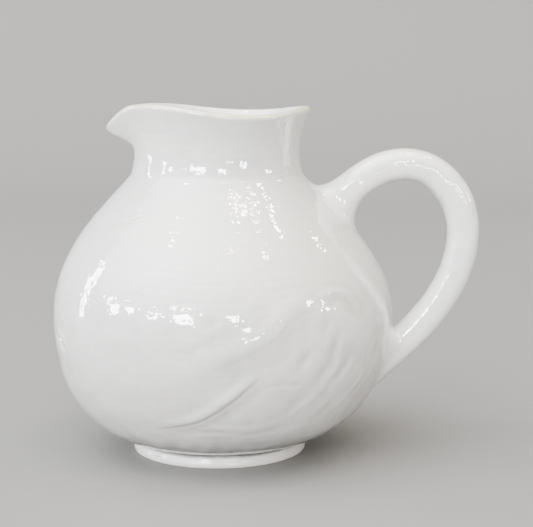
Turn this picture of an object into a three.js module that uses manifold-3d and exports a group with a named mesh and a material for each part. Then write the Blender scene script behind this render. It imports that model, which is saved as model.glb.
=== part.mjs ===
import * as THREE from 'three';
import { mergeVertices } from 'three/addons/utils/BufferGeometryUtils.js';
import Module from 'manifold-3d';

const wasm = await Module();
wasm.setup();

// A hand-built jug. Sizes in mm; the pot stands on z = 0, its spout points along -X, its handle along +X.

// Driving dimensions.
const rimHeight = 193.4; // outer edge of the rim, where its rounding starts
const bellyRadius = 98;
const neckRadius = 47;
const rimRadius = 53.6;
const footRadius = 50; // outside of the foot ring, on the table
const footHeight = 6.5;
const footWidth = 9;
const wallThickness = 5;
const rimThickness = 4.6;
const floorThickness = 8;
const handleThickness = 18.4;
const handleWidth = 21;
const handleReach = 43; // from the belly's radius to the handle's farthest centre point
const spoutReach = 7.1; // how far the pulled spout passes the plain rim
const noseBulge = 3.1; // extra fullness under the nose
const spoutDrop = 8.7; // how far the nose hangs below the sides of the throat
const throatRise = 4.4; // how far the rim stands up on each side of the spout
const handleSideRise = 3; // how far the rim stands up above the handle
const sideDip = 1.6; // how far it sinks between the two

// Clearances and small details.
const lutingGap = 0.3; // the slip joint between two pieces
const bevel = 3; // rise of the belly seam across the wall
const edgeBreak = 0.8;

// Heights that follow from the height of the rim.
const bellyHeight = 0.414 * rimHeight;
const seamHeight = 0.445 * rimHeight; // where the pressed bowl meets the smooth dome
const neckBase = 0.8325 * rimHeight;
const spoutRoot = 0.902 * rimHeight;
const noseHeight = 0.974 * rimHeight;
const neckWaist = 0.893 * rimHeight; // the neck's narrowest place

// The hand-built pot leans a little: sideways shift of the belly's and the neck's centres.
const bellyLean = 0.025 * bellyRadius;
const neckLean = -0.01 * bellyRadius;

const bowlBase = footHeight + lutingGap;
const footSeatRadius = footRadius - 2.4;
const spoutAzimuth = Math.PI;
const degree = Math.PI / 180;
const aroundPot = 56;
const aroundNeck = 72;

// Outside of the pot: radius along x of each curve, height along y.
function curve(...numbers) {
  const points = [];
  for (let i = 0; i < 8; i += 2) {
    points.push(new THREE.Vector2(numbers[i], numbers[i + 1]));
  }
  return new THREE.CubicBezierCurve(...points);
}

const bowlCurve = curve(
  footSeatRadius, bowlBase,
  THREE.MathUtils.lerp(footSeatRadius, bellyRadius, 0.6), THREE.MathUtils.lerp(bowlBase, bellyHeight, 0.1),
  bellyRadius, THREE.MathUtils.lerp(bowlBase, bellyHeight, 0.447),
  bellyRadius, bellyHeight,
);
const neckBaseRadius = neckRadius + 2.1;
const domeCurve = curve(
  bellyRadius, bellyHeight,
  bellyRadius, THREE.MathUtils.lerp(bellyHeight, neckBase, 0.494),
  THREE.MathUtils.lerp(neckRadius, bellyRadius, 0.225), THREE.MathUtils.lerp(bellyHeight, neckBase, 0.84),
  neckBaseRadius, neckBase,
);
const neckCurve = curve(
  neckBaseRadius, neckBase,
  neckRadius, THREE.MathUtils.lerp(neckBase, rimHeight, 0.22),
  neckRadius - 1.7, THREE.MathUtils.lerp(neckBase, rimHeight, 0.6),
  rimRadius, rimHeight,
);

function radiusOn(path, height) {
  let low = 0;
  let high = 1;
  for (let i = 0; i < 30; i++) {
    const middle = (low + high) / 2;
    if (path.getPoint(middle).y < height) {
      low = middle;
    } else {
      high = middle;
    }
  }
  return path.getPoint(low).x;
}

function radiusAt(height) {
  if (height < bellyHeight) {
    return radiusOn(bowlCurve, height);
  }
  return radiusOn(height < neckBase ? domeCurve : neckCurve, height);
}

function leanAt(height) {
  if (height < bellyHeight) {
    return bellyLean * THREE.MathUtils.smoothstep(height, 0, bellyHeight);
  }
  return THREE.MathUtils.lerp(bellyLean, neckLean, THREE.MathUtils.smoothstep(height, bellyHeight, neckBase));
}

// 1 at the middle, falling smoothly to 0 at the half-width.
function bump(distance, halfWidth) {
  const share = Math.min(Math.abs(distance) / halfWidth, 1);
  return Math.cos(share * Math.PI / 2) ** 2;
}

// A point on the outside of the pot, at a height measured before the spout is pulled.
function outside(height, azimuth, grow = 0) {
  const offSpout = Math.abs(azimuth - spoutAzimuth);
  const pulledOut = THREE.MathUtils.smoothstep(height, spoutRoot, rimHeight + 4.9);
  const pulledUp = Math.max((height - neckWaist) / (rimHeight - neckWaist), 0) ** 1.4;
  const reach = spoutReach * bump(offSpout, 51 * degree) * pulledOut
    + noseBulge * bump(offSpout, 25 * degree) * bump(height - noseHeight, 13.2);
  const rise = throatRise * bump(offSpout - 52 * degree, 69 * degree)
    - spoutDrop * bump(offSpout, 34 * degree)
    - sideDip * bump(offSpout - 92 * degree, 57 * degree)
    + handleSideRise * bump(Math.PI - offSpout, 61 * degree);
  const radius = radiusAt(height) + reach + grow;
  return new THREE.Vector3(
    leanAt(height) + radius * Math.cos(azimuth),
    radius * Math.sin(azimuth),
    height + rise * pulledUp,
  );
}

// The outward normal there, and the direction up the wall.
function wallFrame(height, azimuth) {
  const step = 0.01;
  const top = Math.min(height + step, rimHeight);
  const up = outside(top, azimuth).sub(outside(top - 2 * step, azimuth)).normalize();
  const around = outside(height, azimuth + step).sub(outside(height, azimuth - step));
  const normal = around.cross(up).normalize();
  return { up, normal };
}

function thicknessAt(height) {
  const upNeck = THREE.MathUtils.smoothstep(height, neckBase, rimHeight);
  return THREE.MathUtils.lerp(wallThickness, rimThickness, upNeck);
}

// The point straight through the wall from the outside one.
function inside(height, azimuth) {
  const { normal } = wallFrame(height, azimuth);
  return outside(height, azimuth).addScaledVector(normal, -thicknessAt(height));
}

// The inner end of a seam that runs level through the wall.
function seamInside(height, azimuth) {
  return outside(height, azimuth, -wallThickness);
}

function heights(from, to, steps) {
  const list = [];
  for (let i = 0; i <= steps; i++) {
    list.push(THREE.MathUtils.lerp(from, to, i / steps));
  }
  return list;
}

function geometryFrom(vertices, faces) {
  const positions = new Float32Array(vertices.length * 3);
  vertices.forEach((vertex, i) => vertex.toArray(positions, 3 * i));
  const geometry = new THREE.BufferGeometry();
  geometry.setAttribute('position', new THREE.BufferAttribute(positions, 3));
  geometry.setIndex(faces.flat());
  return geometry;
}

// Turns a section round the pot. sectionAt gives its points anticlockwise, seen with the axis on the left.
// A section that starts and ends on the axis is capped there; any other closes on itself.
function turned(sectionAt, steps, meetsAxis = false) {
  const rings = [];
  for (let i = 0; i < steps; i++) {
    rings.push(sectionAt(2 * Math.PI * i / steps));
  }
  const vertices = rings.flat();
  const count = rings[0].length;
  const faces = [];
  const edges = meetsAxis ? count - 1 : count;
  for (let i = 0; i < steps; i++) {
    const here = i * count;
    const there = ((i + 1) % steps) * count;
    for (let j = 0; j < edges; j++) {
      const next = (j + 1) % count;
      const fromAxis = meetsAxis && j === 0;
      const toAxis = meetsAxis && j === count - 2;
      if (!fromAxis) {
        faces.push([here + j, there + j, there + next]);
      }
      if (!toAxis) {
        faces.push([here + j, there + next, here + next]);
      }
    }
  }
  return mergeVertices(geometryFrom(vertices, faces), 1e-4);
}

function toSolid(geometry) {
  const mesh = new wasm.Mesh({
    numProp: 3,
    vertProperties: geometry.attributes.position.array,
    triVerts: Uint32Array.from(geometry.index.array),
  });
  return new wasm.Manifold(mesh);
}

function toGeometry(solid) {
  const mesh = solid.getMesh();
  const geometry = new THREE.BufferGeometry();
  geometry.setAttribute('position', new THREE.BufferAttribute(Float32Array.from(mesh.vertProperties), 3));
  geometry.setIndex(Array.from(mesh.triVerts));
  return geometry;
}

// Foot ring: a coil set under the bowl and turned a little wider where it meets the table.
function footRing() {
  const bottomInner = footRadius - footWidth;
  const topInner = footSeatRadius - footWidth + 1;
  const section = [
    [bottomInner + edgeBreak, 0],
    [footRadius - edgeBreak, 0],
    [footRadius, edgeBreak],
    [footSeatRadius + 0.3, footHeight - edgeBreak],
    [footSeatRadius - 0.5, footHeight],
    [topInner, footHeight],
    [bottomInner, edgeBreak],
  ];
  return turned((azimuth) => section.map(([radius, height]) => new THREE.Vector3(
    radius * Math.cos(azimuth),
    radius * Math.sin(azimuth),
    height,
  )), aroundPot);
}

// Bowl: the pressed lower half, with the floor of the jug.
function lowerBowl() {
  const floorTop = bowlBase + floorThickness;
  const floorRadius = 1.04 * footRadius;
  const axis = leanAt(bowlBase);
  const wallStart = bowlBase + 7.5;
  return turned((azimuth) => [
    new THREE.Vector3(axis, 0, bowlBase),
    ...[0, 1.6, 4.6].map((above) => outside(bowlBase + above, azimuth)),
    ...heights(bowlBase + 10, seamHeight, 8).map((height) => outside(height, azimuth)),
    ...heights(seamHeight + bevel, wallStart + 6, 8).map((height, i) => (
      i === 0 ? seamInside(height, azimuth) : inside(height, azimuth)
    )),
    inside(wallStart, azimuth),
    new THREE.Vector3(axis + floorRadius * Math.cos(azimuth), floorRadius * Math.sin(azimuth), floorTop),
    new THREE.Vector3(axis, 0, floorTop),
  ], aroundPot, true);
}

// Dome: the smooth upper half, from the belly seam to the neck.
function shoulderDome() {
  const bottom = seamHeight + lutingGap;
  const inner = heights(neckBase, bottom + bevel, 9);
  return turned((azimuth) => [
    ...heights(bottom, neckBase, 9).map((height) => outside(height, azimuth)),
    ...inner.map((height, i) => (
      i === 0 || i === inner.length - 1 ? seamInside(height, azimuth) : inside(height, azimuth)
    )),
  ], aroundPot);
}

// Neck: flared to a rounded rim, with the spout pulled out of it.
function neckAndSpout() {
  const bottom = neckBase + lutingGap;
  const inner = heights(rimHeight, bottom, 7);
  return turned((azimuth) => {
    const { up, normal } = wallFrame(rimHeight, azimuth);
    const half = rimThickness / 2;
    const middle = outside(rimHeight, azimuth).addScaledVector(normal, -half);
    const rounding = [45, 90, 135].map((angle) => middle.clone()
      .addScaledVector(normal, half * Math.cos(angle * degree))
      .addScaledVector(up, half * Math.sin(angle * degree)));
    return [
      ...heights(bottom, rimHeight, 7).map((height) => outside(height, azimuth)),
      ...rounding,
      ...inner.map((height, i) => (
        i === inner.length - 1 ? seamInside(height, azimuth) : inside(height, azimuth)
      )),
    ];
  }, aroundNeck);
}

// Centre line of the handle, from the shoulder over the crown and down to the lower belly.
const upperRootHeight = 0.74 * rimHeight;
const lowerRootHeight = 0.243 * rimHeight;
const crownHeight = 0.857 * rimHeight;
const bendHeight = 0.662 * rimHeight;
const farReach = bellyRadius + handleReach;
const upperRoot = radiusAt(upperRootHeight) + leanAt(upperRootHeight);
const lowerRoot = radiusAt(lowerRootHeight) + leanAt(lowerRootHeight) - 6;
const crownReach = bellyRadius + 0.2 * handleReach;

const handleLine = new THREE.CurvePath();
handleLine.add(curve(
  upperRoot, upperRootHeight,
  THREE.MathUtils.lerp(upperRoot, crownReach, 0.25), THREE.MathUtils.lerp(upperRootHeight, crownHeight, 0.6),
  THREE.MathUtils.lerp(upperRoot, crownReach, 0.65), crownHeight,
  crownReach, crownHeight,
));
handleLine.add(curve(
  crownReach, crownHeight,
  THREE.MathUtils.lerp(crownReach, farReach, 0.575), crownHeight,
  farReach, THREE.MathUtils.lerp(crownHeight, bendHeight, 0.483),
  farReach, bendHeight,
));
handleLine.add(curve(
  farReach, bendHeight,
  farReach, THREE.MathUtils.lerp(bendHeight, lowerRootHeight, 0.49),
  THREE.MathUtils.lerp(farReach, lowerRoot, 0.674), THREE.MathUtils.lerp(bendHeight, lowerRootHeight, 0.833),
  lowerRoot, lowerRootHeight,
));
const handleLength = handleLine.getLength();

// A point of the line at a distance from its start, with its direction. It runs on straight past both ends.
function alongHandle(distance) {
  const share = THREE.MathUtils.clamp(distance / handleLength, 0, 1);
  const point = handleLine.getPointAt(share);
  const direction = handleLine.getTangentAt(share);
  return { point: point.addScaledVector(direction, distance - share * handleLength), direction };
}

// Sweeps a rounded oval along the handle's line. sizeAt gives half its width and its half-thickness
// on the outer side and on the finger side.
function swept(from, to, steps, sizeAt) {
  const sides = 18;
  const vertices = [];
  for (let i = 0; i <= steps; i++) {
    const distance = THREE.MathUtils.lerp(from, to, i / steps);
    const { point, direction } = alongHandle(distance);
    const outward = new THREE.Vector2(-direction.y, direction.x);
    const size = sizeAt(distance);
    for (let j = 0; j < sides; j++) {
      const angle = 2 * Math.PI * j / sides;
      const across = Math.cos(angle) * (Math.cos(angle) > 0 ? size.outer : size.finger);
      vertices.push(new THREE.Vector3(
        point.x + outward.x * across,
        size.width * Math.sin(angle),
        point.y + outward.y * across,
      ));
    }
  }
  const faces = [];
  for (let i = 0; i < steps; i++) {
    for (let j = 0; j < sides; j++) {
      const here = i * sides + j;
      const beside = i * sides + (j + 1) % sides;
      faces.push([here, here + sides, beside + sides]);
      faces.push([here, beside + sides, beside]);
    }
  }
  for (let j = 1; j < sides - 1; j++) {
    faces.push([0, j, j + 1]);
    faces.push([steps * sides, steps * sides + j + 1, steps * sides + j]);
  }
  return geometryFrom(vertices, faces);
}

const upperCut = handleThickness; // where the wads end and the pulled strap starts
const lowerCut = handleLength - 1.5 * handleThickness;

function strapSize() {
  return { width: handleWidth / 2, outer: handleThickness / 2, finger: handleThickness / 2 };
}

function handle() {
  return swept(upperCut + lutingGap, lowerCut - lutingGap, 26, strapSize);
}

// The pot's outside as one solid, a luting gap larger, for trimming what is pressed onto it.
function potBlank() {
  return toSolid(turned((azimuth) => [
    new THREE.Vector3(leanAt(bowlBase), 0, bowlBase),
    ...heights(bowlBase, neckBase, 22).map((height) => outside(height, azimuth, lutingGap)),
    new THREE.Vector3(leanAt(neckBase), 0, neckBase),
  ], aroundPot, true));
}

// A wad flares from the strap's own section to its footprint on the pot.
function wad(cut, root, flare) {
  const depth = 14; // how far the blank runs into the pot before it is trimmed
  const end = root + Math.sign(root - cut) * depth;
  const sizeAt = (distance) => {
    const share = Math.min((distance - cut) / (root - cut), 1.25);
    const spread = share ** 2;
    return {
      width: handleWidth / 2 * (1 + flare.width * spread),
      outer: handleThickness / 2 * (1 + flare.outer * spread),
      finger: handleThickness / 2 * (1 + flare.finger * spread),
    };
  };
  const blank = swept(Math.min(cut, end), Math.max(cut, end), 12, sizeAt);
  return toGeometry(toSolid(blank).subtract(potBlank()));
}

function handleUpperWad() {
  return wad(upperCut, 0, { width: 0.45, outer: 0.75, finger: 0.3 });
}

function handleLowerWad() {
  return wad(lowerCut, handleLength, { width: 0.2, outer: 0.1, finger: 0.9 });
}

const group = new THREE.Group();
group.name = 'ceramic_pitcher';

const glaze = 0xe4e3df;
const pieces = [
  ['foot_ring', footRing(), 0xeeeeec],
  ['lower_bowl', lowerBowl(), 0xdad9d6],
  ['shoulder_dome', shoulderDome(), glaze],
  ['neck_and_spout', neckAndSpout(), 0xe8e8e6],
  ['handle', handle(), 0xe9e8e4],
  ['handle_upper_wad', handleUpperWad(), 0xe2dfd8],
  ['handle_lower_wad', handleLowerWad(), 0xe0ddd5],
];

for (const [name, geometry, color] of pieces) {
  const material = new THREE.MeshStandardMaterial({ color, roughness: 0.14, metalness: 0 });
  const mesh = new THREE.Mesh(geometry, material);
  mesh.name = name;
  group.add(mesh);
}

// The origin is the middle of the jug's footprint, on the table.
const box = new THREE.Box3().setFromObject(group);
const middle = box.getCenter(new THREE.Vector3());
for (const mesh of group.children) {
  mesh.geometry.translate(-middle.x, -middle.y, -box.min.z);
}

export default group;
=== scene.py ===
import math

import bpy
import numpy as np
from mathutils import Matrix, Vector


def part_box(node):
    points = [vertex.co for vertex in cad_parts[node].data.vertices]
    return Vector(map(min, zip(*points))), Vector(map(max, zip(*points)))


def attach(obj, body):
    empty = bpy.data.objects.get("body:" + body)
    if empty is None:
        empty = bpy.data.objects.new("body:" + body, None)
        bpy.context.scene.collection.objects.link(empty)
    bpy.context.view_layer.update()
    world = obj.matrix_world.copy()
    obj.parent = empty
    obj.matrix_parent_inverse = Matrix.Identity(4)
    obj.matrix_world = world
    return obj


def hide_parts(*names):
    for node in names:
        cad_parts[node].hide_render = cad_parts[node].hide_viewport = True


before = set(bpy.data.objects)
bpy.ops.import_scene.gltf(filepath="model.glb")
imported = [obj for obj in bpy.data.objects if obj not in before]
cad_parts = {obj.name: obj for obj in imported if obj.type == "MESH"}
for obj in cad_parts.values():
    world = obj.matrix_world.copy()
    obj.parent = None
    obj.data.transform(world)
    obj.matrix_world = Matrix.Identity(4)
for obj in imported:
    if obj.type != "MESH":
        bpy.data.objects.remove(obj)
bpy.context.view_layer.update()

# Sizes are in millimetres in the pot's own frame (axis of the foot at x = 0), and become metres in add_mesh.
ring_low, ring_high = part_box("foot_ring")
AXIS_X = 1000 * (ring_low.x + ring_high.x) / 2
RIM, RIM_R = 193.4, 53.6
BELLY_R, BELLY_Z = 98.0, 80.0
NECK_R, NECK_Z = 47.0, 161.0  # where the dome turns into the neck
SPOUT_ROOT = 174.5  # the pulled wall starts to leave the neck here
WAIST = 172.7  # the narrowest part of the neck
SEAT_R, SEAT_Z = 47.6, 6.8  # where the bowl sits on the foot ring
SEAM_Z = 86.0  # between bowl and dome
WALL, LIP = 5.0, 4.4
FLOOR_Z = 14.8
FOOT_R, FOOT_INNER = 49.0, 41.0
COLUMNS = 576  # points round the pot
AROUND = 144  # points round the handle


# ---------------------------------------------------------------- small helpers

def lerp(a, b, t):
    return a + (b - a) * t


def smooth(x, low, high):
    t = np.clip((x - low) / (high - low), 0, 1)
    return t * t * (3 - 2 * t)


def bump(x, half_width):
    return np.cos(np.clip(np.abs(x) / half_width, 0, 1) * np.pi / 2) ** 2


def gauss(x, width):
    return np.exp(-(x / width) ** 2)


def bezier(points, steps):
    p = np.array(points, float)
    t = np.linspace(0, 1, steps)[:, None]
    return (1 - t) ** 3 * p[0] + 3 * (1 - t) ** 2 * t * p[1] + 3 * (1 - t) * t * t * p[2] + t ** 3 * p[3]


def unit(v):
    return v / np.maximum(np.linalg.norm(v, axis=-1, keepdims=True), 1e-12)


def respace(line, step):
    """The same polyline with points at an even spacing."""
    along = np.r_[0, np.cumsum(np.linalg.norm(np.diff(line, axis=0), axis=1))]
    count = int(round(along[-1] / step)) + 1
    at = np.linspace(0, along[-1], count)
    return np.stack([np.interp(at, along, line[:, i]) for i in range(line.shape[1])], 1)


_gradients = unit(np.random.default_rng(7).normal(size=(4096, 3)))


def noise(p, size, seed=0):
    """Smooth gradient noise, about -0.6 to 0.6, whose lumps are about size mm."""
    q = p / size + seed * 17.31
    cell = np.floor(q).astype(np.int64)
    f = q - cell
    w = f * f * f * (f * (f * 6 - 15) + 10)
    total = 0.0
    for dx in (0, 1):
        for dy in (0, 1):
            for dz in (0, 1):
                c = cell + np.array([dx, dy, dz])
                mixed = (c[..., 0] * 73856093) ^ (c[..., 1] * 19349663) ^ (c[..., 2] * 83492791)
                g = _gradients[(mixed ^ (seed * 2654435)) & 4095]
                away = f - np.array([dx, dy, dz])
                share = (
                    (w[..., 0] if dx else 1 - w[..., 0])
                    * (w[..., 1] if dy else 1 - w[..., 1])
                    * (w[..., 2] if dz else 1 - w[..., 2])
                )
                total = total + share * (g * away).sum(-1)
    return total


# ---------------------------------------------------------------- the pot's outside, before any relief

profile = np.vstack([
    bezier([(SEAT_R, SEAT_Z), (lerp(SEAT_R, BELLY_R, .6), lerp(SEAT_Z, BELLY_Z, .1)),
            (BELLY_R, lerp(SEAT_Z, BELLY_Z, .447)), (BELLY_R, BELLY_Z)], 500),
    bezier([(BELLY_R, BELLY_Z), (BELLY_R, lerp(BELLY_Z, NECK_Z, .494)),
            (lerp(NECK_R, BELLY_R, .225), lerp(BELLY_Z, NECK_Z, .84)), (NECK_R + 2.1, NECK_Z)], 500)[1:],
    bezier([(NECK_R + 2.1, NECK_Z), (NECK_R, lerp(NECK_Z, RIM, .22)),
            (NECK_R - 1.7, lerp(NECK_Z, RIM, .6)), (RIM_R, RIM)], 300)[1:],
])
profile = respace(profile, 0.25)
# The throwing hand rounds the corner where the neck starts.
kernel = gauss(np.arange(-24, 25) * 0.25, 1.6)
kernel /= kernel.sum()
padded = np.vstack([2 * profile[0] - profile[24:0:-1], profile, 2 * profile[-1] - profile[-2:-26:-1]])
profile = np.stack([np.convolve(padded[:, i], kernel, "valid") for i in (0, 1)], 1)
profile = respace(profile, 1.0)


def radius_at(z):
    return np.interp(z, profile[:, 1], profile[:, 0])


def lean_at(z):
    """The pot isn't quite true: its belly leans to the handle and its neck a little to the spout."""
    belly_lean, neck_lean = 2.45, -0.98
    low = belly_lean * smooth(z, 0, BELLY_Z)
    high = lerp(belly_lean, neck_lean, smooth(z, BELLY_Z, NECK_Z))
    return np.where(z < BELLY_Z, low, high)


def spout_pull(z, azimuth):
    """How far the hand pulled the wall out and up at a height and an azimuth (radians)."""
    off = np.degrees(np.abs(np.mod(azimuth, 2 * np.pi) - np.pi))
    pulled_out = smooth(z, SPOUT_ROOT, RIM + 4.9)
    pulled_up = np.maximum((z - WAIST) / (RIM - WAIST), 0) ** 1.4
    nose = 3.1 * bump(off, 25) * bump(z - (RIM - 5.1), 13.2)
    reach = 7.1 * bump(off, 51) * pulled_out + nose
    throat = (4.4 - 1.2 * np.sin(azimuth)) * bump(off - 52, 69)
    tip = -9.3 * bump(off, 34)
    side = -1.6 * bump(off - 92, 57)
    handle_side = 3.0 * bump(180 - off, 61)
    return reach, (throat + tip + side + handle_side) * pulled_up


def on_pot(z, azimuth, grow=0.0):
    reach, rise = spout_pull(z, azimuth)
    r = radius_at(z) + reach + grow
    return np.stack([lean_at(z) + r * np.cos(azimuth), r * np.sin(azimuth), z + rise], -1)


# ---------------------------------------------------------------- relief of the outside

def feature_line(*stations):
    """A smooth line over the pot through (azimuth in degrees, height) stations."""
    pts = np.array(stations, float)
    fine = np.linspace(0, len(pts) - 1, 40 * (len(pts) - 1) + 1)
    out = []
    for x in fine:
        i = min(int(x), len(pts) - 2)
        u = x - i
        p0, p1, p2, p3 = pts[max(i - 1, 0)], pts[i], pts[i + 1], pts[min(i + 2, len(pts) - 1)]
        out.append(0.5 * (2 * p1 + (p2 - p0) * u + (2 * p0 - 5 * p1 + 4 * p2 - p3) * u * u
                          + (3 * p1 - p0 - 3 * p2 + p3) * u ** 3))
    out = np.array(out)
    return respace(on_pot(out[:, 1], np.radians(out[:, 0])), 1.0)


def near_line(points, line, reach):
    """Which points are near a line, how far to its left (+, seen from outside), and how far along, 0 to 1."""
    low, high = line.min(0) - reach, line.max(0) + reach
    some = np.where(((points > low) & (points < high)).all(-1))[0]
    q = points[some]
    best = np.full(len(q), 1e9)
    which = np.zeros(len(q), int)
    for i, p in enumerate(line):
        d = ((q - p) ** 2).sum(-1)
        better = d < best
        best[better] = d[better]
        which[better] = i
    tangent = unit(np.gradient(line, axis=0))[which]
    offset = q - line[which]
    along = (offset * tangent).sum(-1)
    offset = offset - along[:, None] * tangent
    outward = unit(line[which] * [1, 1, 0])
    side = np.sign((np.cross(outward, tangent) * offset).sum(-1))
    distance = np.linalg.norm(offset, axis=1) * side
    share = (which + np.clip(along, -reach, reach)) / (len(line) - 1)
    keep = best < reach * reach
    return some[keep], distance[keep], share[keep]


def taper(share, start=0.15, end=0.15):
    return smooth(share, 0, start) * smooth(1 - share, 0, end)


def fold(points, out, line, height, width, crease, start=.15, end=.15):
    """A ridge on the line's left with a sharp crease along it and a shallow trough on its right."""
    i, d, s = near_line(points, line, 5 * width)
    t = taper(s, start, end)
    out[i] += t * height * gauss(d - 0.75 * width, width)
    out[i] -= t * crease * gauss(d + 0.2, 1.15)
    out[i] -= t * 0.45 * height * gauss(d + 1.3 * width, 1.2 * width)


def groove(points, out, line, depth, width, start=.3, end=.3):
    i, d, s = near_line(points, line, 4 * width)
    t = taper(s, start, end) * np.clip(0.75 + 2.0 * noise(points[i], 13, 11), 0.1, 1.5)
    out[i] -= t * depth * gauss(d, width)
    out[i] += t * 0.5 * depth * gauss(np.abs(d) - 1.9 * width, 0.8 * width)


def outer_relief(points, z, azimuth):
    """Height of the handmade surface over the plain one, in mm. Arrays are flat."""
    out = np.zeros(len(points))
    low = 1 - smooth(z, 84, 100)
    body = smooth(z, 7, 16)
    neck = smooth(z, 158, 168)
    # slow unevenness of the whole pot, then the pressed facets of the lower half
    out += body * 0.75 * noise(points, 70, 1) * (1 - 0.6 * neck)
    out += body * 0.38 * noise(points, 34, 2) * lerp(1.0, 0.4, smooth(z, 90, 120)) * (1 - 0.6 * neck)
    out += body * lerp(0.16, 0.75, low) * noise(points * [1, 1, 1.15], 19, 3)
    out += body * lerp(0.05, 0.26, low) * noise(points, 12, 10)
    # pressing marks run down to the left on the handle side of the bowl
    diagonal = np.stack([
        points[:, 0] * 0.42 - points[:, 1] * 0.2 + points[:, 2] * -0.55,
        points[:, 1] * 0.30 + points[:, 2] * 0.28 + points[:, 0] * 0.2,
        points[:, 2] * 0.12 + points[:, 0] * 0.1,
    ], 1)
    side = bump(np.mod(np.degrees(azimuth), 360) - 312, 42)
    out += body * low * side * 0.38 * noise(diagonal, 5.5, 4)
    # ripple in the glaze
    calm = lerp(1.0, 0.45, smooth(z, 100, 116) * (1 - neck))
    out += body * calm * 0.17 * noise(points, 9.5, 5)
    out += body * calm * 0.075 * noise(points, 4.6, 6)
    out += neck * 0.12 * noise(points * [1, 1, 1.3], 6.5, 7)
    # throwing rings, faint, strongest on the dome and the neck
    wobble = 4 * noise(points, 60, 8)
    rings = np.sin(2 * np.pi * (z + wobble) / 4.3) * (0.5 + noise(points, 50, 9))
    out += 0.045 * rings * lerp(0.5, 1, smooth(z, 80, 110)) * body
    # the S-shaped fold across the front of the bowl
    line = feature_line((244, 29), (254, 31.5), (264, 36.5), (273, 46), (284.5, 63))
    fold(points, out, line, 1.5, 3.8, 0.85, .42, .22)
    # the longer, softer fold that rises to the belly's widest line
    line = feature_line((262, 60), (271, 67.5), (279, 73.5), (287, 81), (294.5, 92), (304, 97))
    fold(points, out, line, 1.15, 6.5, 0.12, .3, .2)
    for depth, width, stations in (
        # strokes up to the left of it
        (0.28, 2.6, ((258, 80.5), (261, 84.5), (265.5, 88.5), (272, 95))),
        (0.20, 3.0, ((258, 72), (265, 80), (272, 89))),
        # grooves of the handle side, which run down to the left
        (0.62, 3.0, ((311, 86), (307.5, 69), (301, 52.5), (291, 39))),
        (0.42, 2.8, ((308, 92), (300.5, 77), (294, 61))),
        (0.68, 2.4, ((326, 67), (324, 58.5), (315, 45), (307, 33))),
        (0.36, 2.6, ((319, 79), (313, 60), (304, 46))),
        (0.36, 2.8, ((334, 80), (332, 70), (326, 52), (320, 43))),
        # fine lines across the lower front
        (0.22, 1.3, ((283, 56.5), (292, 56.5), (302, 55.5))),
        (0.25, 1.8, ((255, 25.5), (268.5, 29.5), (283, 27.5), (297, 32.5))),
        (0.22, 2.2, ((270, 34), (287, 36.5), (301, 44))),
    ):
        groove(points, out, feature_line(*stations), depth, width)
    # the edge of the press mould, arched over the handle side
    line = feature_line((303, 99.5), (308, 101), (313, 101), (318, 97), (321, 86))
    fold(points, out, line, 0.75, 2.6, 0.22, .3, .3)
    # a dent pushed into the spout side
    i, d, s = near_line(points, feature_line((198, 72.5), (204, 69.5), (209.5, 65)), 16)
    out[i] -= taper(s, .35, .35) * (2.1 * gauss(d, 2.0) - 0.8 * gauss(d - 4.5, 2.6))
    # two turning lines left high on the dome
    for depth, stations in (
        (0.16, ((196, 118), (205, 126), (220.5, 136.5), (236, 142.5), (246, 143), (261, 139.5))),
        (0.13, ((203, 121), (209.5, 127), (225, 137), (243, 141))),
    ):
        i, d, s = near_line(points, feature_line(*stations), 6)
        out[i] += taper(s, .2, .3) * depth * (0.6 * gauss(d - 1.3, 1.0) - gauss(d, 0.9))
    # pinholes in the glaze
    for az, height in (
        (243.5, 54), (251, 57.5), (287, 63), (231, 101), (318, 117), (118, 66), (35, 99), (160, 121),
    ):
        hole = on_pot(np.array(float(height)), np.radians(az))
        out -= 0.22 * gauss(np.linalg.norm(points - hole, axis=1), 0.9)
    return out


# ---------------------------------------------------------------- meshes

def add_mesh(name, points, faces, normals, marks):
    """A closed mesh from mm points, with a normal for each face corner and named numbers for each vertex."""
    mesh = bpy.data.meshes.new(name)
    co = (np.asarray(points, float) + [AXIS_X, 0, 0]) / 1000
    counts = np.array([len(f) for f in faces])
    loops = np.concatenate([np.asarray(f) for f in faces]) if counts.std() else np.asarray(faces).ravel()
    mesh.vertices.add(len(co))
    mesh.vertices.foreach_set("co", co.astype(np.float32).ravel())
    mesh.loops.add(len(loops))
    mesh.loops.foreach_set("vertex_index", loops.astype(np.int32))
    mesh.polygons.add(len(counts))
    mesh.polygons.foreach_set("loop_start", np.r_[0, np.cumsum(counts)[:-1]].astype(np.int32))
    mesh.update(calc_edges=True)
    mesh.validate()
    mesh.polygons.foreach_set("use_smooth", np.ones(len(counts), bool))
    mesh.normals_split_custom_set(unit(normals).tolist())
    for key, values in marks.items():
        layer = mesh.attributes.new(key, "FLOAT", "POINT")
        layer.data.foreach_set("value", np.asarray(values, np.float32))
    piece = bpy.data.objects.new(name, mesh)
    bpy.context.scene.collection.objects.link(piece)
    return piece


def grid_normals(grid, loop_rows=False):
    """Unit normals of a (rows, columns, 3) grid whose columns close on themselves."""
    if loop_rows:
        down = np.roll(grid, -1, 0) - np.roll(grid, 1, 0)
    else:
        down = np.gradient(grid, axis=0)
    across = np.roll(grid, -1, 1) - np.roll(grid, 1, 1)
    return unit(np.cross(across, down))


azimuths = 2 * np.pi * np.arange(COLUMNS) / COLUMNS

# Rows of the whole pot: under the base, up the outside, over the lip, down the inside, across the floor.
outer_z = profile[:, 1]
rows, columns = len(outer_z), COLUMNS
zz, aa = np.meshgrid(outer_z, azimuths, indexing="ij")
plain = on_pot(zz, aa)
plain_normal = grid_normals(plain)

relief = outer_relief(plain.reshape(-1, 3), zz.ravel(), aa.ravel()).reshape(rows, columns)
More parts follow.
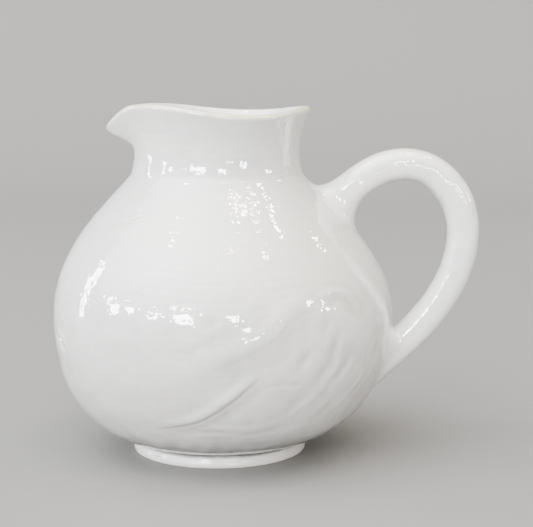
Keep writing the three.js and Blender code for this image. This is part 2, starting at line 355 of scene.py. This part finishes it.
# it fades out where the bowl meets the ring and where the wall turns into the lip
relief *= smooth(zz, 7, 10) * lerp(1, 0.35, smooth(zz, RIM - 8, RIM))
seam_noise = noise(plain.reshape(-1, 3) * [1, 1, 0.5], 9, 13).reshape(rows, columns)
relief -= (1.5 + 1.2 * seam_noise) * gauss(zz - 7.2, 1.7)
outer = plain + relief[..., None] * plain_normal

# lip: a half round from the outside to the inside
wobble = noise(np.stack([60 * np.cos(azimuths), 60 * np.sin(azimuths), 0 * azimuths], 1), 26, 12)
lip_half = LIP / 2 + 0.22 * wobble + 0.8 * bump(np.degrees(azimuths) - 180, 42)
top, top_normal = outer[-1], plain_normal[-1]
up = unit(outer[-1] - outer[-4])
middle = top - top_normal * lip_half[:, None]
lip = []
for angle in np.linspace(0, np.pi, 13)[1:-1]:
    lip.append(middle + (top_normal * math.cos(angle) + up * math.sin(angle) * 0.92) * lip_half[:, None])
lip = np.array(lip)

# inside: the wall's thickness in from the plain outside, with the throwing rings of the inside
inner_rows = np.r_[np.arange(rows - 1, rows - 40, -1), np.arange(rows - 41, 9, -3)]
inner_z = zz[inner_rows]
thick = WALL + (2 * lip_half[None] - WALL) * smooth(inner_z, NECK_Z, RIM)
inner = plain[inner_rows] - thick[..., None] * plain_normal[inner_rows]
flat = inner.reshape(-1, 3)
rings = 0.10 * np.sin(2 * np.pi * (flat[:, 2] + 3 * noise(flat, 50, 21)) / 7.5) + 0.5 * noise(flat, 45, 22)
rings = rings.reshape(inner_z.shape) * (1 - smooth(inner_z, RIM - 12, RIM))
inner = inner - rings[..., None] * plain_normal[inner_rows]

# the inside floor and the underside of the base, each out from or in to its centre
edge = inner[-1]
floor = []
for t in np.linspace(0, 1, 22)[1:]:
    ring = edge * 1.0
    ring[:, :2] = lerp(edge[:, :2], [0, 0], t)
    ring[:, 2] = FLOOR_Z + (edge[:, 2] - FLOOR_Z) * (1 - smooth(t, 0, 0.28)) ** 1.6
    ring[:, 2] += 0.25 * np.sin(26 * t) * smooth(t, 0.1, 0.3) * (1 - t)
    floor.append(ring)
floor = np.array(floor)
under = []
for t in np.linspace(0, 1, 16)[:-1]:
    ring = outer[0] * [t, t, 0]
    ring[:, 2] = SEAT_Z + 0.5 * (1 - t * t)
    under.append(ring)
under = np.array(under)

pot = np.concatenate([under, outer, lip, inner, floor])
normals = grid_normals(pot)
normals[0] = [0, 0, -1]
normals[-1] = [0, 0, 1]
first_outer = len(under)
first_lip = first_outer + rows
first_inner = first_lip + len(lip)

outer_cuts = [first_outer + int(np.searchsorted(outer_z, z)) for z in (SEAM_Z, NECK_Z)]
inner_cuts = [first_inner + int(np.argmin(np.abs(inner_z[:, 0] - z))) for z in (SEAM_Z, NECK_Z)]


def blur(values, passes):
    """A grid whose columns close on themselves, with each value averaged with those round it."""
    for _ in range(passes):
        values = (values + np.roll(values, 1, 1) + np.roll(values, -1, 1)) / 3
        values = (values + np.vstack([values[:1], values[:-1]]) + np.vstack([values[1:], values[-1:]])) / 3
    return values


# how deep each point lies in its surroundings: glaze gathers in the low places, and the creases also get
# painted shade
crease_pool_and_shade = np.zeros(pot.shape[:2])
crease_pool_and_shade[first_outer:first_lip] = np.clip((blur(relief, 7) - relief) / 0.35, -1, 1)
# painted shade: under the belly and round the joint with the foot, darker towards the bottom of the pot, and
# on the base
shade = np.zeros(pot.shape[:2])
shade[first_outer:first_lip] = (1 - smooth(zz, 7.0 + 3 * seam_noise, 27 + 9 * seam_noise)) ** 1.3
shade[first_outer:first_lip] += 0.42 * (1 - smooth(zz, 20, 118))
shade[:first_outer] = 0.4
# where the glaze is thin: a line along the top of the lip, fainter at the spout
thin_glaze_and_warm_light = np.zeros(pot.shape[:2])
rim_line = (0.75 + 0.7 * wobble) * (1 - 0.7 * bump(np.degrees(azimuths) - 180, 42))
thin_glaze_and_warm_light[first_lip:first_inner] = gauss(np.linspace(0, 1, len(lip)) - 0.42, 0.26)[:, None] * rim_line
# painted warm light: a cream tint on the handle side of the dome, where the warm light falls
warm_light_wobble = 1 + noise(plain.reshape(-1, 3), 30, 14).reshape(rows, columns)
thin_glaze_and_warm_light[first_outer:first_lip] = 0.17 * bump(np.degrees(aa) - 322, 48) * bump(zz - 126, 50) * warm_light_wobble


def pot_piece(name, row_list):
    """A closed piece of the pot from runs of its rows, which are joined to each other through the wall."""
    kept, index = [], []
    count = 0
    for run in row_list:
        for r in run:
            pole = r in (0, len(pot) - 1)
            size = 1 if pole else columns
            kept.append((r, size))
            index.append(np.full(columns, count) if pole else count + np.arange(columns))
            count += size

    def gather(grid):
        return np.concatenate([grid[r][:size] for r, size in kept])

    pts, nrm = gather(pot), gather(normals)
    lengths = np.cumsum([len(run) for run in row_list])
    closed = row_list[0][0] != 0
    total = len(index)
    faces, corner = [], []
    for j in range(total if closed else total - 1):
        a, b = index[j], index[(j + 1) % total]
        a2, b2 = np.roll(a, -1), np.roll(b, -1)
        through = (j + 1) in lengths  # this strip crosses the wall, so it is flat and square-edged
        if a[0] == a[1]:
            block = np.stack([a, b2, b], 1)
        elif b[0] == b[1]:
            block = np.stack([a, a2, b], 1)
        else:
            block = np.stack([a, a2, b2, b], 1)
        if through:
            n = unit(np.cross(pts[block[:, 1]] - pts[block[:, 0]], pts[block[:, 2]] - pts[block[:, 0]]))
            corner.append(np.repeat(n, block.shape[1], 0))
        else:
            corner.append(nrm[block.ravel()])
        faces += list(block)
    marks = {"crease_pool_and_shade": gather(crease_pool_and_shade), "thin_glaze_and_warm_light": gather(thin_glaze_and_warm_light), "shade": gather(shade)}
    return add_mesh(name, pts, faces, np.concatenate(corner), marks)


last = len(pot)
bowl = pot_piece("glazed_bowl", [range(0, outer_cuts[0] + 1), range(inner_cuts[0], last)])
dome = pot_piece("glazed_dome", [
    range(outer_cuts[0], outer_cuts[1] + 1),
    range(inner_cuts[1], inner_cuts[0] + 1),
])
neck = pot_piece("glazed_neck", [range(outer_cuts[1], inner_cuts[1] + 1)])


# ---------------------------------------------------------------- foot ring

def foot_ring():
    """The turned ring: its worn outer face, its top under the bowl, the recess and the face it stands on."""
    inner_top, stand_in = FOOT_INNER - 1.4, FOOT_INNER + 1.2
    shoulder, under_bowl = (FOOT_R + 0.3, 4.9), FOOT_R - 2.4
    outside = bezier([(FOOT_R, 0), (FOOT_R + 1.8, 0.2), (FOOT_R + 1, 2.6), shoulder], 26)
    top = bezier([shoulder, (FOOT_R + 0.1, 5.9), (FOOT_R - 0.8, 6.4), (under_bowl, 6.5)], 10)[1:]
    over = np.linspace((under_bowl, 6.6), (inner_top, 6.6), 10)[1:]
    inside = bezier([(inner_top, 6.6), (inner_top + .5, 4), (FOOT_INNER, 1.4), (stand_in, 0)], 16)[1:]
    bottom = np.linspace((stand_in, 0), (FOOT_R, 0), 9)[1:-1]
    outline = np.vstack([outside, top, over, inside, bottom])
    ring = np.stack([
        outline[:, None, 0] * np.cos(azimuths), outline[:, None, 0] * np.sin(azimuths),
        np.repeat(outline[:, None, 1], columns, 1),
    ], -1)
    flat = ring.reshape(-1, 3)
    out_normal = grid_normals(ring, True)
    z = ring[..., 2]
    d = (0.42 * noise(flat, 24, 31) + 0.20 * noise(flat, 9, 32) + 0.06 * noise(flat, 4, 33)).reshape(z.shape)
    d *= smooth(z, 0.3, 1.6)
    # the luting slip squeezed out of the joint in places
    squeeze = np.clip(noise(flat * [1, 1, 0.4], 7.5, 34).reshape(z.shape) - 0.08, 0, 1)
    outer_side = np.hypot(ring[..., 0], ring[..., 1]) > 45.5
    d += 1.5 * squeeze * gauss(z - 6.0, 1.1) * outer_side
    ring = ring + np.clip(d, -0.6, 0.9)[..., None] * out_normal
    ring[..., 2] = np.clip(ring[..., 2], 0, 6.75)
    n = grid_normals(ring, True)
    index = np.arange(ring.shape[0] * columns).reshape(-1, columns)
    a, b = index, np.roll(index, -1, 0)
    faces = np.stack([a, np.roll(a, -1, 1), np.roll(b, -1, 1), b], -1).reshape(-1, 4)
    bare = smooth(0.9 - z, -0.3, 0.5)
    # painted shade along the top of the ring under the bowl, lighter where the slip is squeezed out
    shadow = smooth(z, 5.5, 6.4) * (0.55 - 1.6 * squeeze)
    marks = {"bare": bare.ravel(), "shade": shadow.ravel()}
    return add_mesh("glazed_foot_ring", ring.reshape(-1, 3), faces, n.reshape(-1, 3)[faces.ravel()], marks)


foot = foot_ring()


# ---------------------------------------------------------------- handle

STEP = 0.8
SUNK = 2.4  # how far the handle's ends reach into the wall
UPPER_Z, LOWER_Z = 143.5, 54.0  # the middles of the two roots
crown, outermost = (106.5, 165.8), (141.0, 128.0)
spine = respace(np.vstack([
    bezier([(68.0, 143.0), (77.6, 156.8), (93.0, 165.8), crown], 80),
    bezier([crown, (126.4, 165.8), (141.0, 147.4), outermost], 120)[1:],
    bezier([outermost, (141.0, 88.2), (105.2, 60.6), (90.0, 48.6)], 200)[1:],
]), STEP)


def handle_root(ring, inward, root_z, reaches, firm, upward, sideways):
    """Rows from a ring of the strap to its footprint on the pot, and the rows that close it in the wall."""
    reach_up, reach_down, reach_side = reaches
    above, root, below = (on_pot(np.array(root_z + dz), np.array(0.0)) for dz in (1.0, 0.0, -1.0))
    per_mm = 2 / np.linalg.norm(above - below)
    foot_z = root_z + upward * np.where(upward > 0, reach_up, reach_down) * per_mm
    foot_az = sideways * reach_side / radius_at(foot_z)
    foot = on_pot(foot_z, foot_az)
    small = 0.4
    along_z = on_pot(foot_z + small, foot_az) - on_pot(foot_z - small, foot_az)
    along_az = on_pot(foot_z, foot_az + small / 80) - on_pot(foot_z, foot_az - small / 80)
    out_of_pot = unit(np.cross(along_az, along_z))
    foot = foot + outer_relief(foot, foot_z, foot_az)[:, None] * out_of_pot
    away = foot - root
    away = unit(away - (away * out_of_pot).sum(-1, keepdims=True) * out_of_pot)
    span = np.linalg.norm(foot - ring, axis=1, keepdims=True)
    # each row runs on from the strap, then turns to lie along the pot, the later the smaller firm is
    leave = ring + inward * span * 0.5
    arrive = foot - away * span * firm[:, None]
    shown = np.array([
        (1 - t) ** 3 * ring + 3 * (1 - t) ** 2 * t * leave + 3 * (1 - t) * t * t * arrive + t ** 3 * foot
        for t in np.linspace(0, 1, 34)[1:]
    ])
    hidden = [foot - 0.5 * out_of_pot + away * 0.5, foot - 1.6 * out_of_pot + away * 0.2]
    hidden += [on_pot(lerp(foot_z, root_z, t), lerp(foot_az, 0.0, t), -SUNK) for t in (0.25, 0.5, 0.75)]
    return shown, np.array(hidden), on_pot(np.array(root_z), np.array(0.0), -SUNK)


def handle_piece():
    """The pulled strap with both its flared roots, as one closed piece."""
    s = np.arange(len(spine)) * STEP
    total = len(spine) * STEP
    tangent = unit(np.gradient(spine, axis=0))
    outward = np.stack([-tangent[:, 1], tangent[:, 0]], 1)
    free = np.where((s >= 17.5) & (s <= total - 25.0))[0]  # the stretch between the roots
    angle = 2 * np.pi * np.arange(AROUND) / AROUND
    c, w = np.cos(angle), np.sin(angle)
    # a slightly squared oval, which the pulling hand left uneven along its length
    stations = [0, 20, 60, 110, 160, total]
    half_thick = np.interp(s, stations, [9.3, 9.2, 9.5, 9.0, 8.8, 9.4])
    half_wide = np.interp(s, stations, [11.6, 10.9, 10.4, 10.3, 10.2, 11.0])
    squared = 1 + 0.075 * (1 - np.cos(4 * angle)) / 2
    across = half_thick[free, None] * c * squared
    tube = np.stack([
        spine[free, 0][:, None] + outward[free, 0][:, None] * across,
        half_wide[free, None] * w * squared,
        spine[free, 1][:, None] + outward[free, 1][:, None] * across,
    ], -1)
    flat = tube.reshape(-1, 3)
    ripple = 0.42 * noise(flat, 26, 41) + 0.32 * noise(flat, 10, 42) + 0.15 * noise(flat, 4.8, 43)
    tube = tube - ripple.reshape(across.shape)[..., None] * grid_normals(tube)

    start, end = (np.array([tangent[i, 0], 0, tangent[i, 1]]) for i in (free[0], free[-1]))
    outer_share, inner_share = np.clip(c, 0, 1), np.clip(-c, 0, 1)
    firm_top = 0.42 - 0.20 * inner_share
    firm_low = 0.42 - 0.30 * inner_share - 0.18 * outer_share
    upper, upper_tuck, upper_centre = handle_root(tube[0], -start, UPPER_Z, (20, 24, 18), firm_top, c, w)
    lower, lower_tuck, lower_centre = handle_root(tube[-1], end, LOWER_Z, (24, 27, 19.5), firm_low, -c, w)
    grid = np.concatenate([upper_tuck[::-1], upper[::-1], tube, lower, lower_tuck])
    normal = -grid_normals(grid)

    pts = np.concatenate([grid.reshape(-1, 3), upper_centre[None], lower_centre[None]])
    index = np.arange(len(grid) * AROUND).reshape(len(grid), AROUND)
    a, b = index[:-1], index[1:]
    quads = np.stack([b, np.roll(b, -1, 1), np.roll(a, -1, 1), a], -1).reshape(-1, 4)
    caps = []
    for k in range(AROUND):
        after = (k + 1) % AROUND
        caps.append(np.array([index[0][k], index[0][after], len(pts) - 2]))
        caps.append(np.array([index[-1][after], index[-1][k], len(pts) - 1]))
    faces = list(quads) + caps
    vertex_normals = np.concatenate([normal.reshape(-1, 3), [[-1, 0, 0]], [[-1, 0, 0]]])

    # the glaze runs thin along the outer edge of the crown, and painted shade darkens the faces that look
    # down
    thin_edge = np.zeros(grid.shape[:2])
    first = len(upper_tuck) + len(upper)
    crown_share = bump(np.linspace(0, 1, len(free)) - 0.24, 0.3)
    thin_edge[first:first + len(free)] = outer_share[None] ** 6 * crown_share[:, None]
    # painted shade on the faces that look down
    below = 0.7 * smooth(-normal[..., 2], 0.3, 0.95)
    marks = {"thin_glaze_and_warm_light": np.r_[thin_edge.ravel(), 0, 0], "shade": np.r_[below.ravel(), 0, 0]}
    return add_mesh("glazed_handle", pts, faces, vertex_normals[np.concatenate(faces)], marks)


handle = handle_piece()


# ---------------------------------------------------------------- glaze

class Graph:
    """A material's node tree, with a short way to add each kind of node that the glaze uses."""

    def __init__(self, name):
        self.material = bpy.data.materials.new(name)
        self.material.use_nodes = True
        self.nodes = self.material.node_tree.nodes
        self.links = self.material.node_tree.links
        self.nodes.clear()
        self.shader = self.nodes.new("ShaderNodeBsdfPrincipled")
        out = self.nodes.new("ShaderNodeOutputMaterial")
        self.links.new(self.shader.outputs[0], out.inputs[0])
        self.place = self.nodes.new("ShaderNodeTexCoord").outputs["Object"]

    def put(self, value, socket):
        """A number, a colour or another node's output, into a socket."""
        if isinstance(value, (int, float)):
            socket.default_value = value
        elif isinstance(value, tuple):
            socket.default_value = (*value, 1)
        else:
            self.links.new(value, socket)

    def noise(self, scale, detail=3.0, rough=0.5, distortion=0.0):
        node = self.nodes.new("ShaderNodeTexNoise")
        node.inputs["Scale"].default_value = scale
        node.inputs["Detail"].default_value = detail
        node.inputs["Roughness"].default_value = rough
        node.inputs["Distortion"].default_value = distortion
        self.links.new(self.place, node.inputs["Vector"])
        return node.outputs["Fac"]

    def ramp(self, factor, *stops):
        node = self.nodes.new("ShaderNodeValToRGB")
        while len(node.color_ramp.elements) < len(stops):
            node.color_ramp.elements.new(0.5)
        for element, (position, colour) in zip(node.color_ramp.elements, stops):
            element.position = position
            element.color = (*colour, 1)
        self.links.new(factor, node.inputs[0])
        return node.outputs[0]

    def mix(self, factor, a, b, mode="MIX"):
        node = self.nodes.new("ShaderNodeMix")
        node.data_type = "RGBA"
        node.blend_type = mode
        self.put(factor, node.inputs[0])
        self.put(a, node.inputs[6])
        self.put(b, node.inputs[7])
        return node.outputs[2]

    def maths(self, operation, a, b, clamp=False):
        node = self.nodes.new("ShaderNodeMath")
        node.operation = operation
        node.use_clamp = clamp
        self.put(a, node.inputs[0])
        self.put(b, node.inputs[1])
        return node.outputs[0]

    def mark(self, key, strength):
        """A vertex attribute times a strength, from 0 to 1."""
        node = self.nodes.new("ShaderNodeAttribute")
        node.attribute_name = key
        return self.maths("MULTIPLY", node.outputs["Fac"], strength, True)

    def bump(self, height, strength, distance, under=None):
        node = self.nodes.new("ShaderNodeBump")
        node.inputs["Strength"].default_value = strength
        node.inputs["Distance"].default_value = distance
        self.links.new(height, node.inputs["Height"])
        if under is not None:
            self.links.new(under, node.inputs["Normal"])
        return node.outputs[0]


BLACK, WHITE = (0, 0, 0), (1, 1, 1)


def iron_specks(g):
    cells = g.nodes.new("ShaderNodeTexVoronoi")
    cells.inputs["Scale"].default_value = 95
    g.links.new(g.place, cells.inputs["Vector"])
    dot = g.ramp(cells.outputs["Distance"], (0.02, WHITE), (0.05, BLACK))
    rare = g.ramp(g.noise(37, 1.0), (0.66, BLACK), (0.70, WHITE))
    return g.maths("MULTIPLY", g.mix(1.0, dot, rare, "MULTIPLY"), 0.5)


def glaze_material(name, bare=False, lift=0.0):
    """The white glaze. bare adds the unglazed clay of the foot, and lift lightens the white as painted light.
    """
    g = Graph(name)
    # slow cloudiness of the white, from cool to warm
    whites = (0.30, (0.735, 0.745, 0.745)), (0.52, (0.77, 0.77, 0.76)), (0.72, (0.78, 0.77, 0.745))
    cloud = g.ramp(g.noise(14, 2.0), *((stop, tuple(c + lift for c in white)) for stop, white in whites))
    mottled = g.ramp(g.noise(120, 4.0, 0.6), (0.3, (0.955, 0.955, 0.95)), (0.7, WHITE))
    colour = g.mix(1.0, cloud, mottled, "MULTIPLY")
    # glaze pools grey in the creases, where shade is painted in too; shade is painted under the belly, round
    # the foot and low down; the clay warms the glaze where it runs thin, and a cream tint paints the warm
    # light on the handle side of the dome
    colour = g.mix(g.mark("crease_pool_and_shade", 0.6), colour, (0.42, 0.42, 0.41))
    colour = g.mix(g.mark("shade", 0.95), colour, (0.30, 0.29, 0.28))
    colour = g.mix(g.mark("thin_glaze_and_warm_light", 0.95), colour, (0.80, 0.72, 0.46))
    colour = g.mix(iron_specks(g), colour, (0.45, 0.40, 0.34))
    rough = g.maths("ADD", g.maths("MULTIPLY", g.noise(45, 2.0), 0.05), 0.02)
    if bare:
        clay = g.ramp(g.noise(260, 6.0, 0.7), (0.3, (0.62, 0.55, 0.46)), (0.7, (0.78, 0.72, 0.63)))
        unglazed = g.mark("bare", 1.0)
        colour = g.mix(unglazed, colour, clay)
        rough = g.maths("ADD", g.maths("ADD", rough, 0.2), g.maths("MULTIPLY", unglazed, 0.5), True)
    g.put(colour, g.shader.inputs["Base Color"])
    g.put(rough, g.shader.inputs["Roughness"])
    g.put(1.6 if bare else 1.72, g.shader.inputs["IOR"])
    g.put(1.0, g.shader.inputs["Specular IOR Level"])
    # orange-peel of the fired glaze, from its finest grain to its broadest
    normal = g.bump(g.noise(380, 1.0, 0.5, 0.3), 0.5, 0.00012)
    normal = g.bump(g.noise(190, 2.0), 0.5, 0.0002, normal)
    normal = g.bump(g.noise(75, 2.0, 0.5, 0.6), 0.6, 0.0004, normal)
    g.put(normal, g.shader.inputs["Normal"])
    return g.material


glaze = glaze_material("white_glaze")
# a lighter copy of the glaze: painted light on the handle
painted_lit_handle_glaze = glaze_material("white_glaze_painted_lit", lift=0.13)
foot_glaze = glaze_material("white_glaze_foot", True)
for piece in (bowl, dome, neck):
    piece.data.materials.append(glaze)
handle.data.materials.append(painted_lit_handle_glaze)
foot.data.materials.append(foot_glaze)

for piece, nodes in (
    (bowl, ("lower_bowl",)),
    (dome, ("shoulder_dome",)),
    (neck, ("neck_and_spout",)),
    (handle, ("handle", "handle_upper_wad", "handle_lower_wad")),
    (foot, ("foot_ring",)),
):
    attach(piece, "root")
    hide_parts(*nodes)

# ---------------------------------------------------------------- floor, light, camera

def plain_material(name, colour, rough):
    m = bpy.data.materials.new(name)
    m.use_nodes = True
    b = m.node_tree.nodes["Principled BSDF"]
    b.inputs["Base Color"].default_value = (*colour, 1)
    b.inputs["Roughness"].default_value = rough
    return m


# the floor curves up into a plain backdrop well behind the jug
back, bend = 1.4, 0.9
turn = np.linspace(0.05, math.pi / 2, 24)
sweep = [(-6.0, 0.0), (back, 0.0)]
sweep += [(back + bend * math.sin(a), bend - bend * math.cos(a)) for a in turn]
sweep += [(back + bend, 5.0)]
floor_mesh = bpy.data.meshes.new("floor")
floor_mesh.from_pydata(
    [(x, y, z) for y, z in sweep for x in (-7, 7)], [],
    [(2 * k, 2 * k + 1, 2 * k + 3, 2 * k + 2) for k in range(len(sweep) - 1)],
)
floor_mesh.polygons.foreach_set("use_smooth", [True] * len(floor_mesh.polygons))
floor_piece = bpy.data.objects.new("floor", floor_mesh)
bpy.context.scene.collection.objects.link(floor_piece)
floor_piece.data.materials.append(plain_material("pale_floor", (0.205, 0.203, 0.20), 0.6))


def lamp(name, azimuth, elevation, distance, width, height, watts, colour=(1, 1, 1)):
    """A rectangular light that looks at the jug from an azimuth (0 in front, + to the right)."""
    data = bpy.data.lights.new(name, "AREA")
    data.shape = "RECTANGLE"
    data.size, data.size_y = width, height
    data.energy = watts
    data.color = colour
    obj = bpy.data.objects.new(name, data)
    a, e = math.radians(azimuth), math.radians(elevation)
    d = np.array([math.sin(a) * math.cos(e), -math.cos(a) * math.cos(e), math.sin(e)])
    obj.location = d * distance + [0, 0, 0.1]
    obj.rotation_euler = (math.pi / 2 - e, 0, a)
    bpy.context.scene.collection.objects.link(obj)
    return obj


# a row of windows in front and to the left
WINDOW = 140  # watts a square metre
lamp("window_left", -104, 12, 2.4, 0.20, 1.25, 29)
for k, (az, el, width, height) in enumerate((
    (-75, 10, 0.24, 0.34),
    (-60, 12, 0.28, 0.22),
    (-43, 13.5, 0.20, 0.13),
    (-23.5, 15, 0.68, 0.42),
    (8.4, 17, 0.28, 0.20),
)):
    lamp(f"window_{k}", az, el, 2.4, width, height, WINDOW * width * height)
# small warm lights overhead
CEILING, WARM = 170, (1, 0.86, 0.68)
for k, (az, el, size) in enumerate((
    (77, 78, 0.13), (98, 70, 0.11), (49, 79, 0.11), (78, 71, 0.07), (103, 62, 0.10),
    (92, 60, 0.16), (18, 65, 0.06), (51, 58, 0.10), (111, 41, 0.09), (-66, 62, 0.15),
)):
    lamp(f"ceiling_{k}", az, el, 2.2, size, 0.8 * size, CEILING * size * size, WARM)
# fainter ones in front and to the right
lamp("window_right", 76, 16, 2.4, 0.24, 0.16, 4.5)
lamp("door", 37, 9, 2.4, 0.07, 0.50, 6)
lamp("far_window", 17, 4, 2.4, 0.56, 0.20, 9)

world = bpy.data.worlds.new("studio")
bpy.context.scene.world = world
world.use_nodes = True
sky = world.node_tree.nodes
wires = world.node_tree.links
direction = sky.new("ShaderNodeTexCoord")


def glow(azimuth, elevation, colour, power, under):
    """Adds to the colour under it a soft light that comes mostly from one direction."""
    a, e = math.radians(azimuth), math.radians(elevation)
    dot = sky.new("ShaderNodeVectorMath")
    dot.operation = "DOT_PRODUCT"
    dot.inputs[1].default_value = (math.sin(a) * math.cos(e), -math.cos(a) * math.cos(e), math.sin(e))
    wires.new(direction.outputs["Generated"], dot.inputs[0])
    front = sky.new("ShaderNodeMath")
    front.operation = "MAXIMUM"
    wires.new(dot.outputs["Value"], front.inputs[0])
    front.inputs[1].default_value = 0
    narrow = sky.new("ShaderNodeMath")
    narrow.operation = "POWER"
    wires.new(front.outputs[0], narrow.inputs[0])
    narrow.inputs[1].default_value = power
    add = sky.new("ShaderNodeMix")
    add.data_type = "RGBA"
    add.blend_type = "ADD"
    wires.new(narrow.outputs[0], add.inputs[0])
    if isinstance(under, tuple):
        add.inputs[6].default_value = (*under, 1)
    else:
        wires.new(under, add.inputs[6])
    add.inputs[7].default_value = (*colour, 1)
    return add.outputs[2]


soft = glow(-54, 60, (7.7, 7.75, 7.8), 3.0, (0.17, 0.175, 0.18))
soft = glow(72, 44, (1.1, 0.80, 0.42), 4.0, soft)
wires.new(soft, sky["Background"].inputs[0])
sky["Background"].inputs[1].default_value = 1.0

camera_data = bpy.data.cameras.new("camera")
camera_data.sensor_width = 36
camera_data.sensor_fit = "HORIZONTAL"
camera_data.lens = 95.6
camera_data.clip_start = 0.05
camera = bpy.data.objects.new("camera", camera_data)
right_of_foot, distance, eye_height, tilt = 27.47, 813, 224.04, 8.0956
camera.location = ((AXIS_X + right_of_foot) / 1000, -distance / 1000, eye_height / 1000)
camera.rotation_euler = (math.radians(90 - tilt), 0, 0)
bpy.context.scene.collection.objects.link(camera)
bpy.context.scene.camera = camera

bpy.context.view_layer.update()
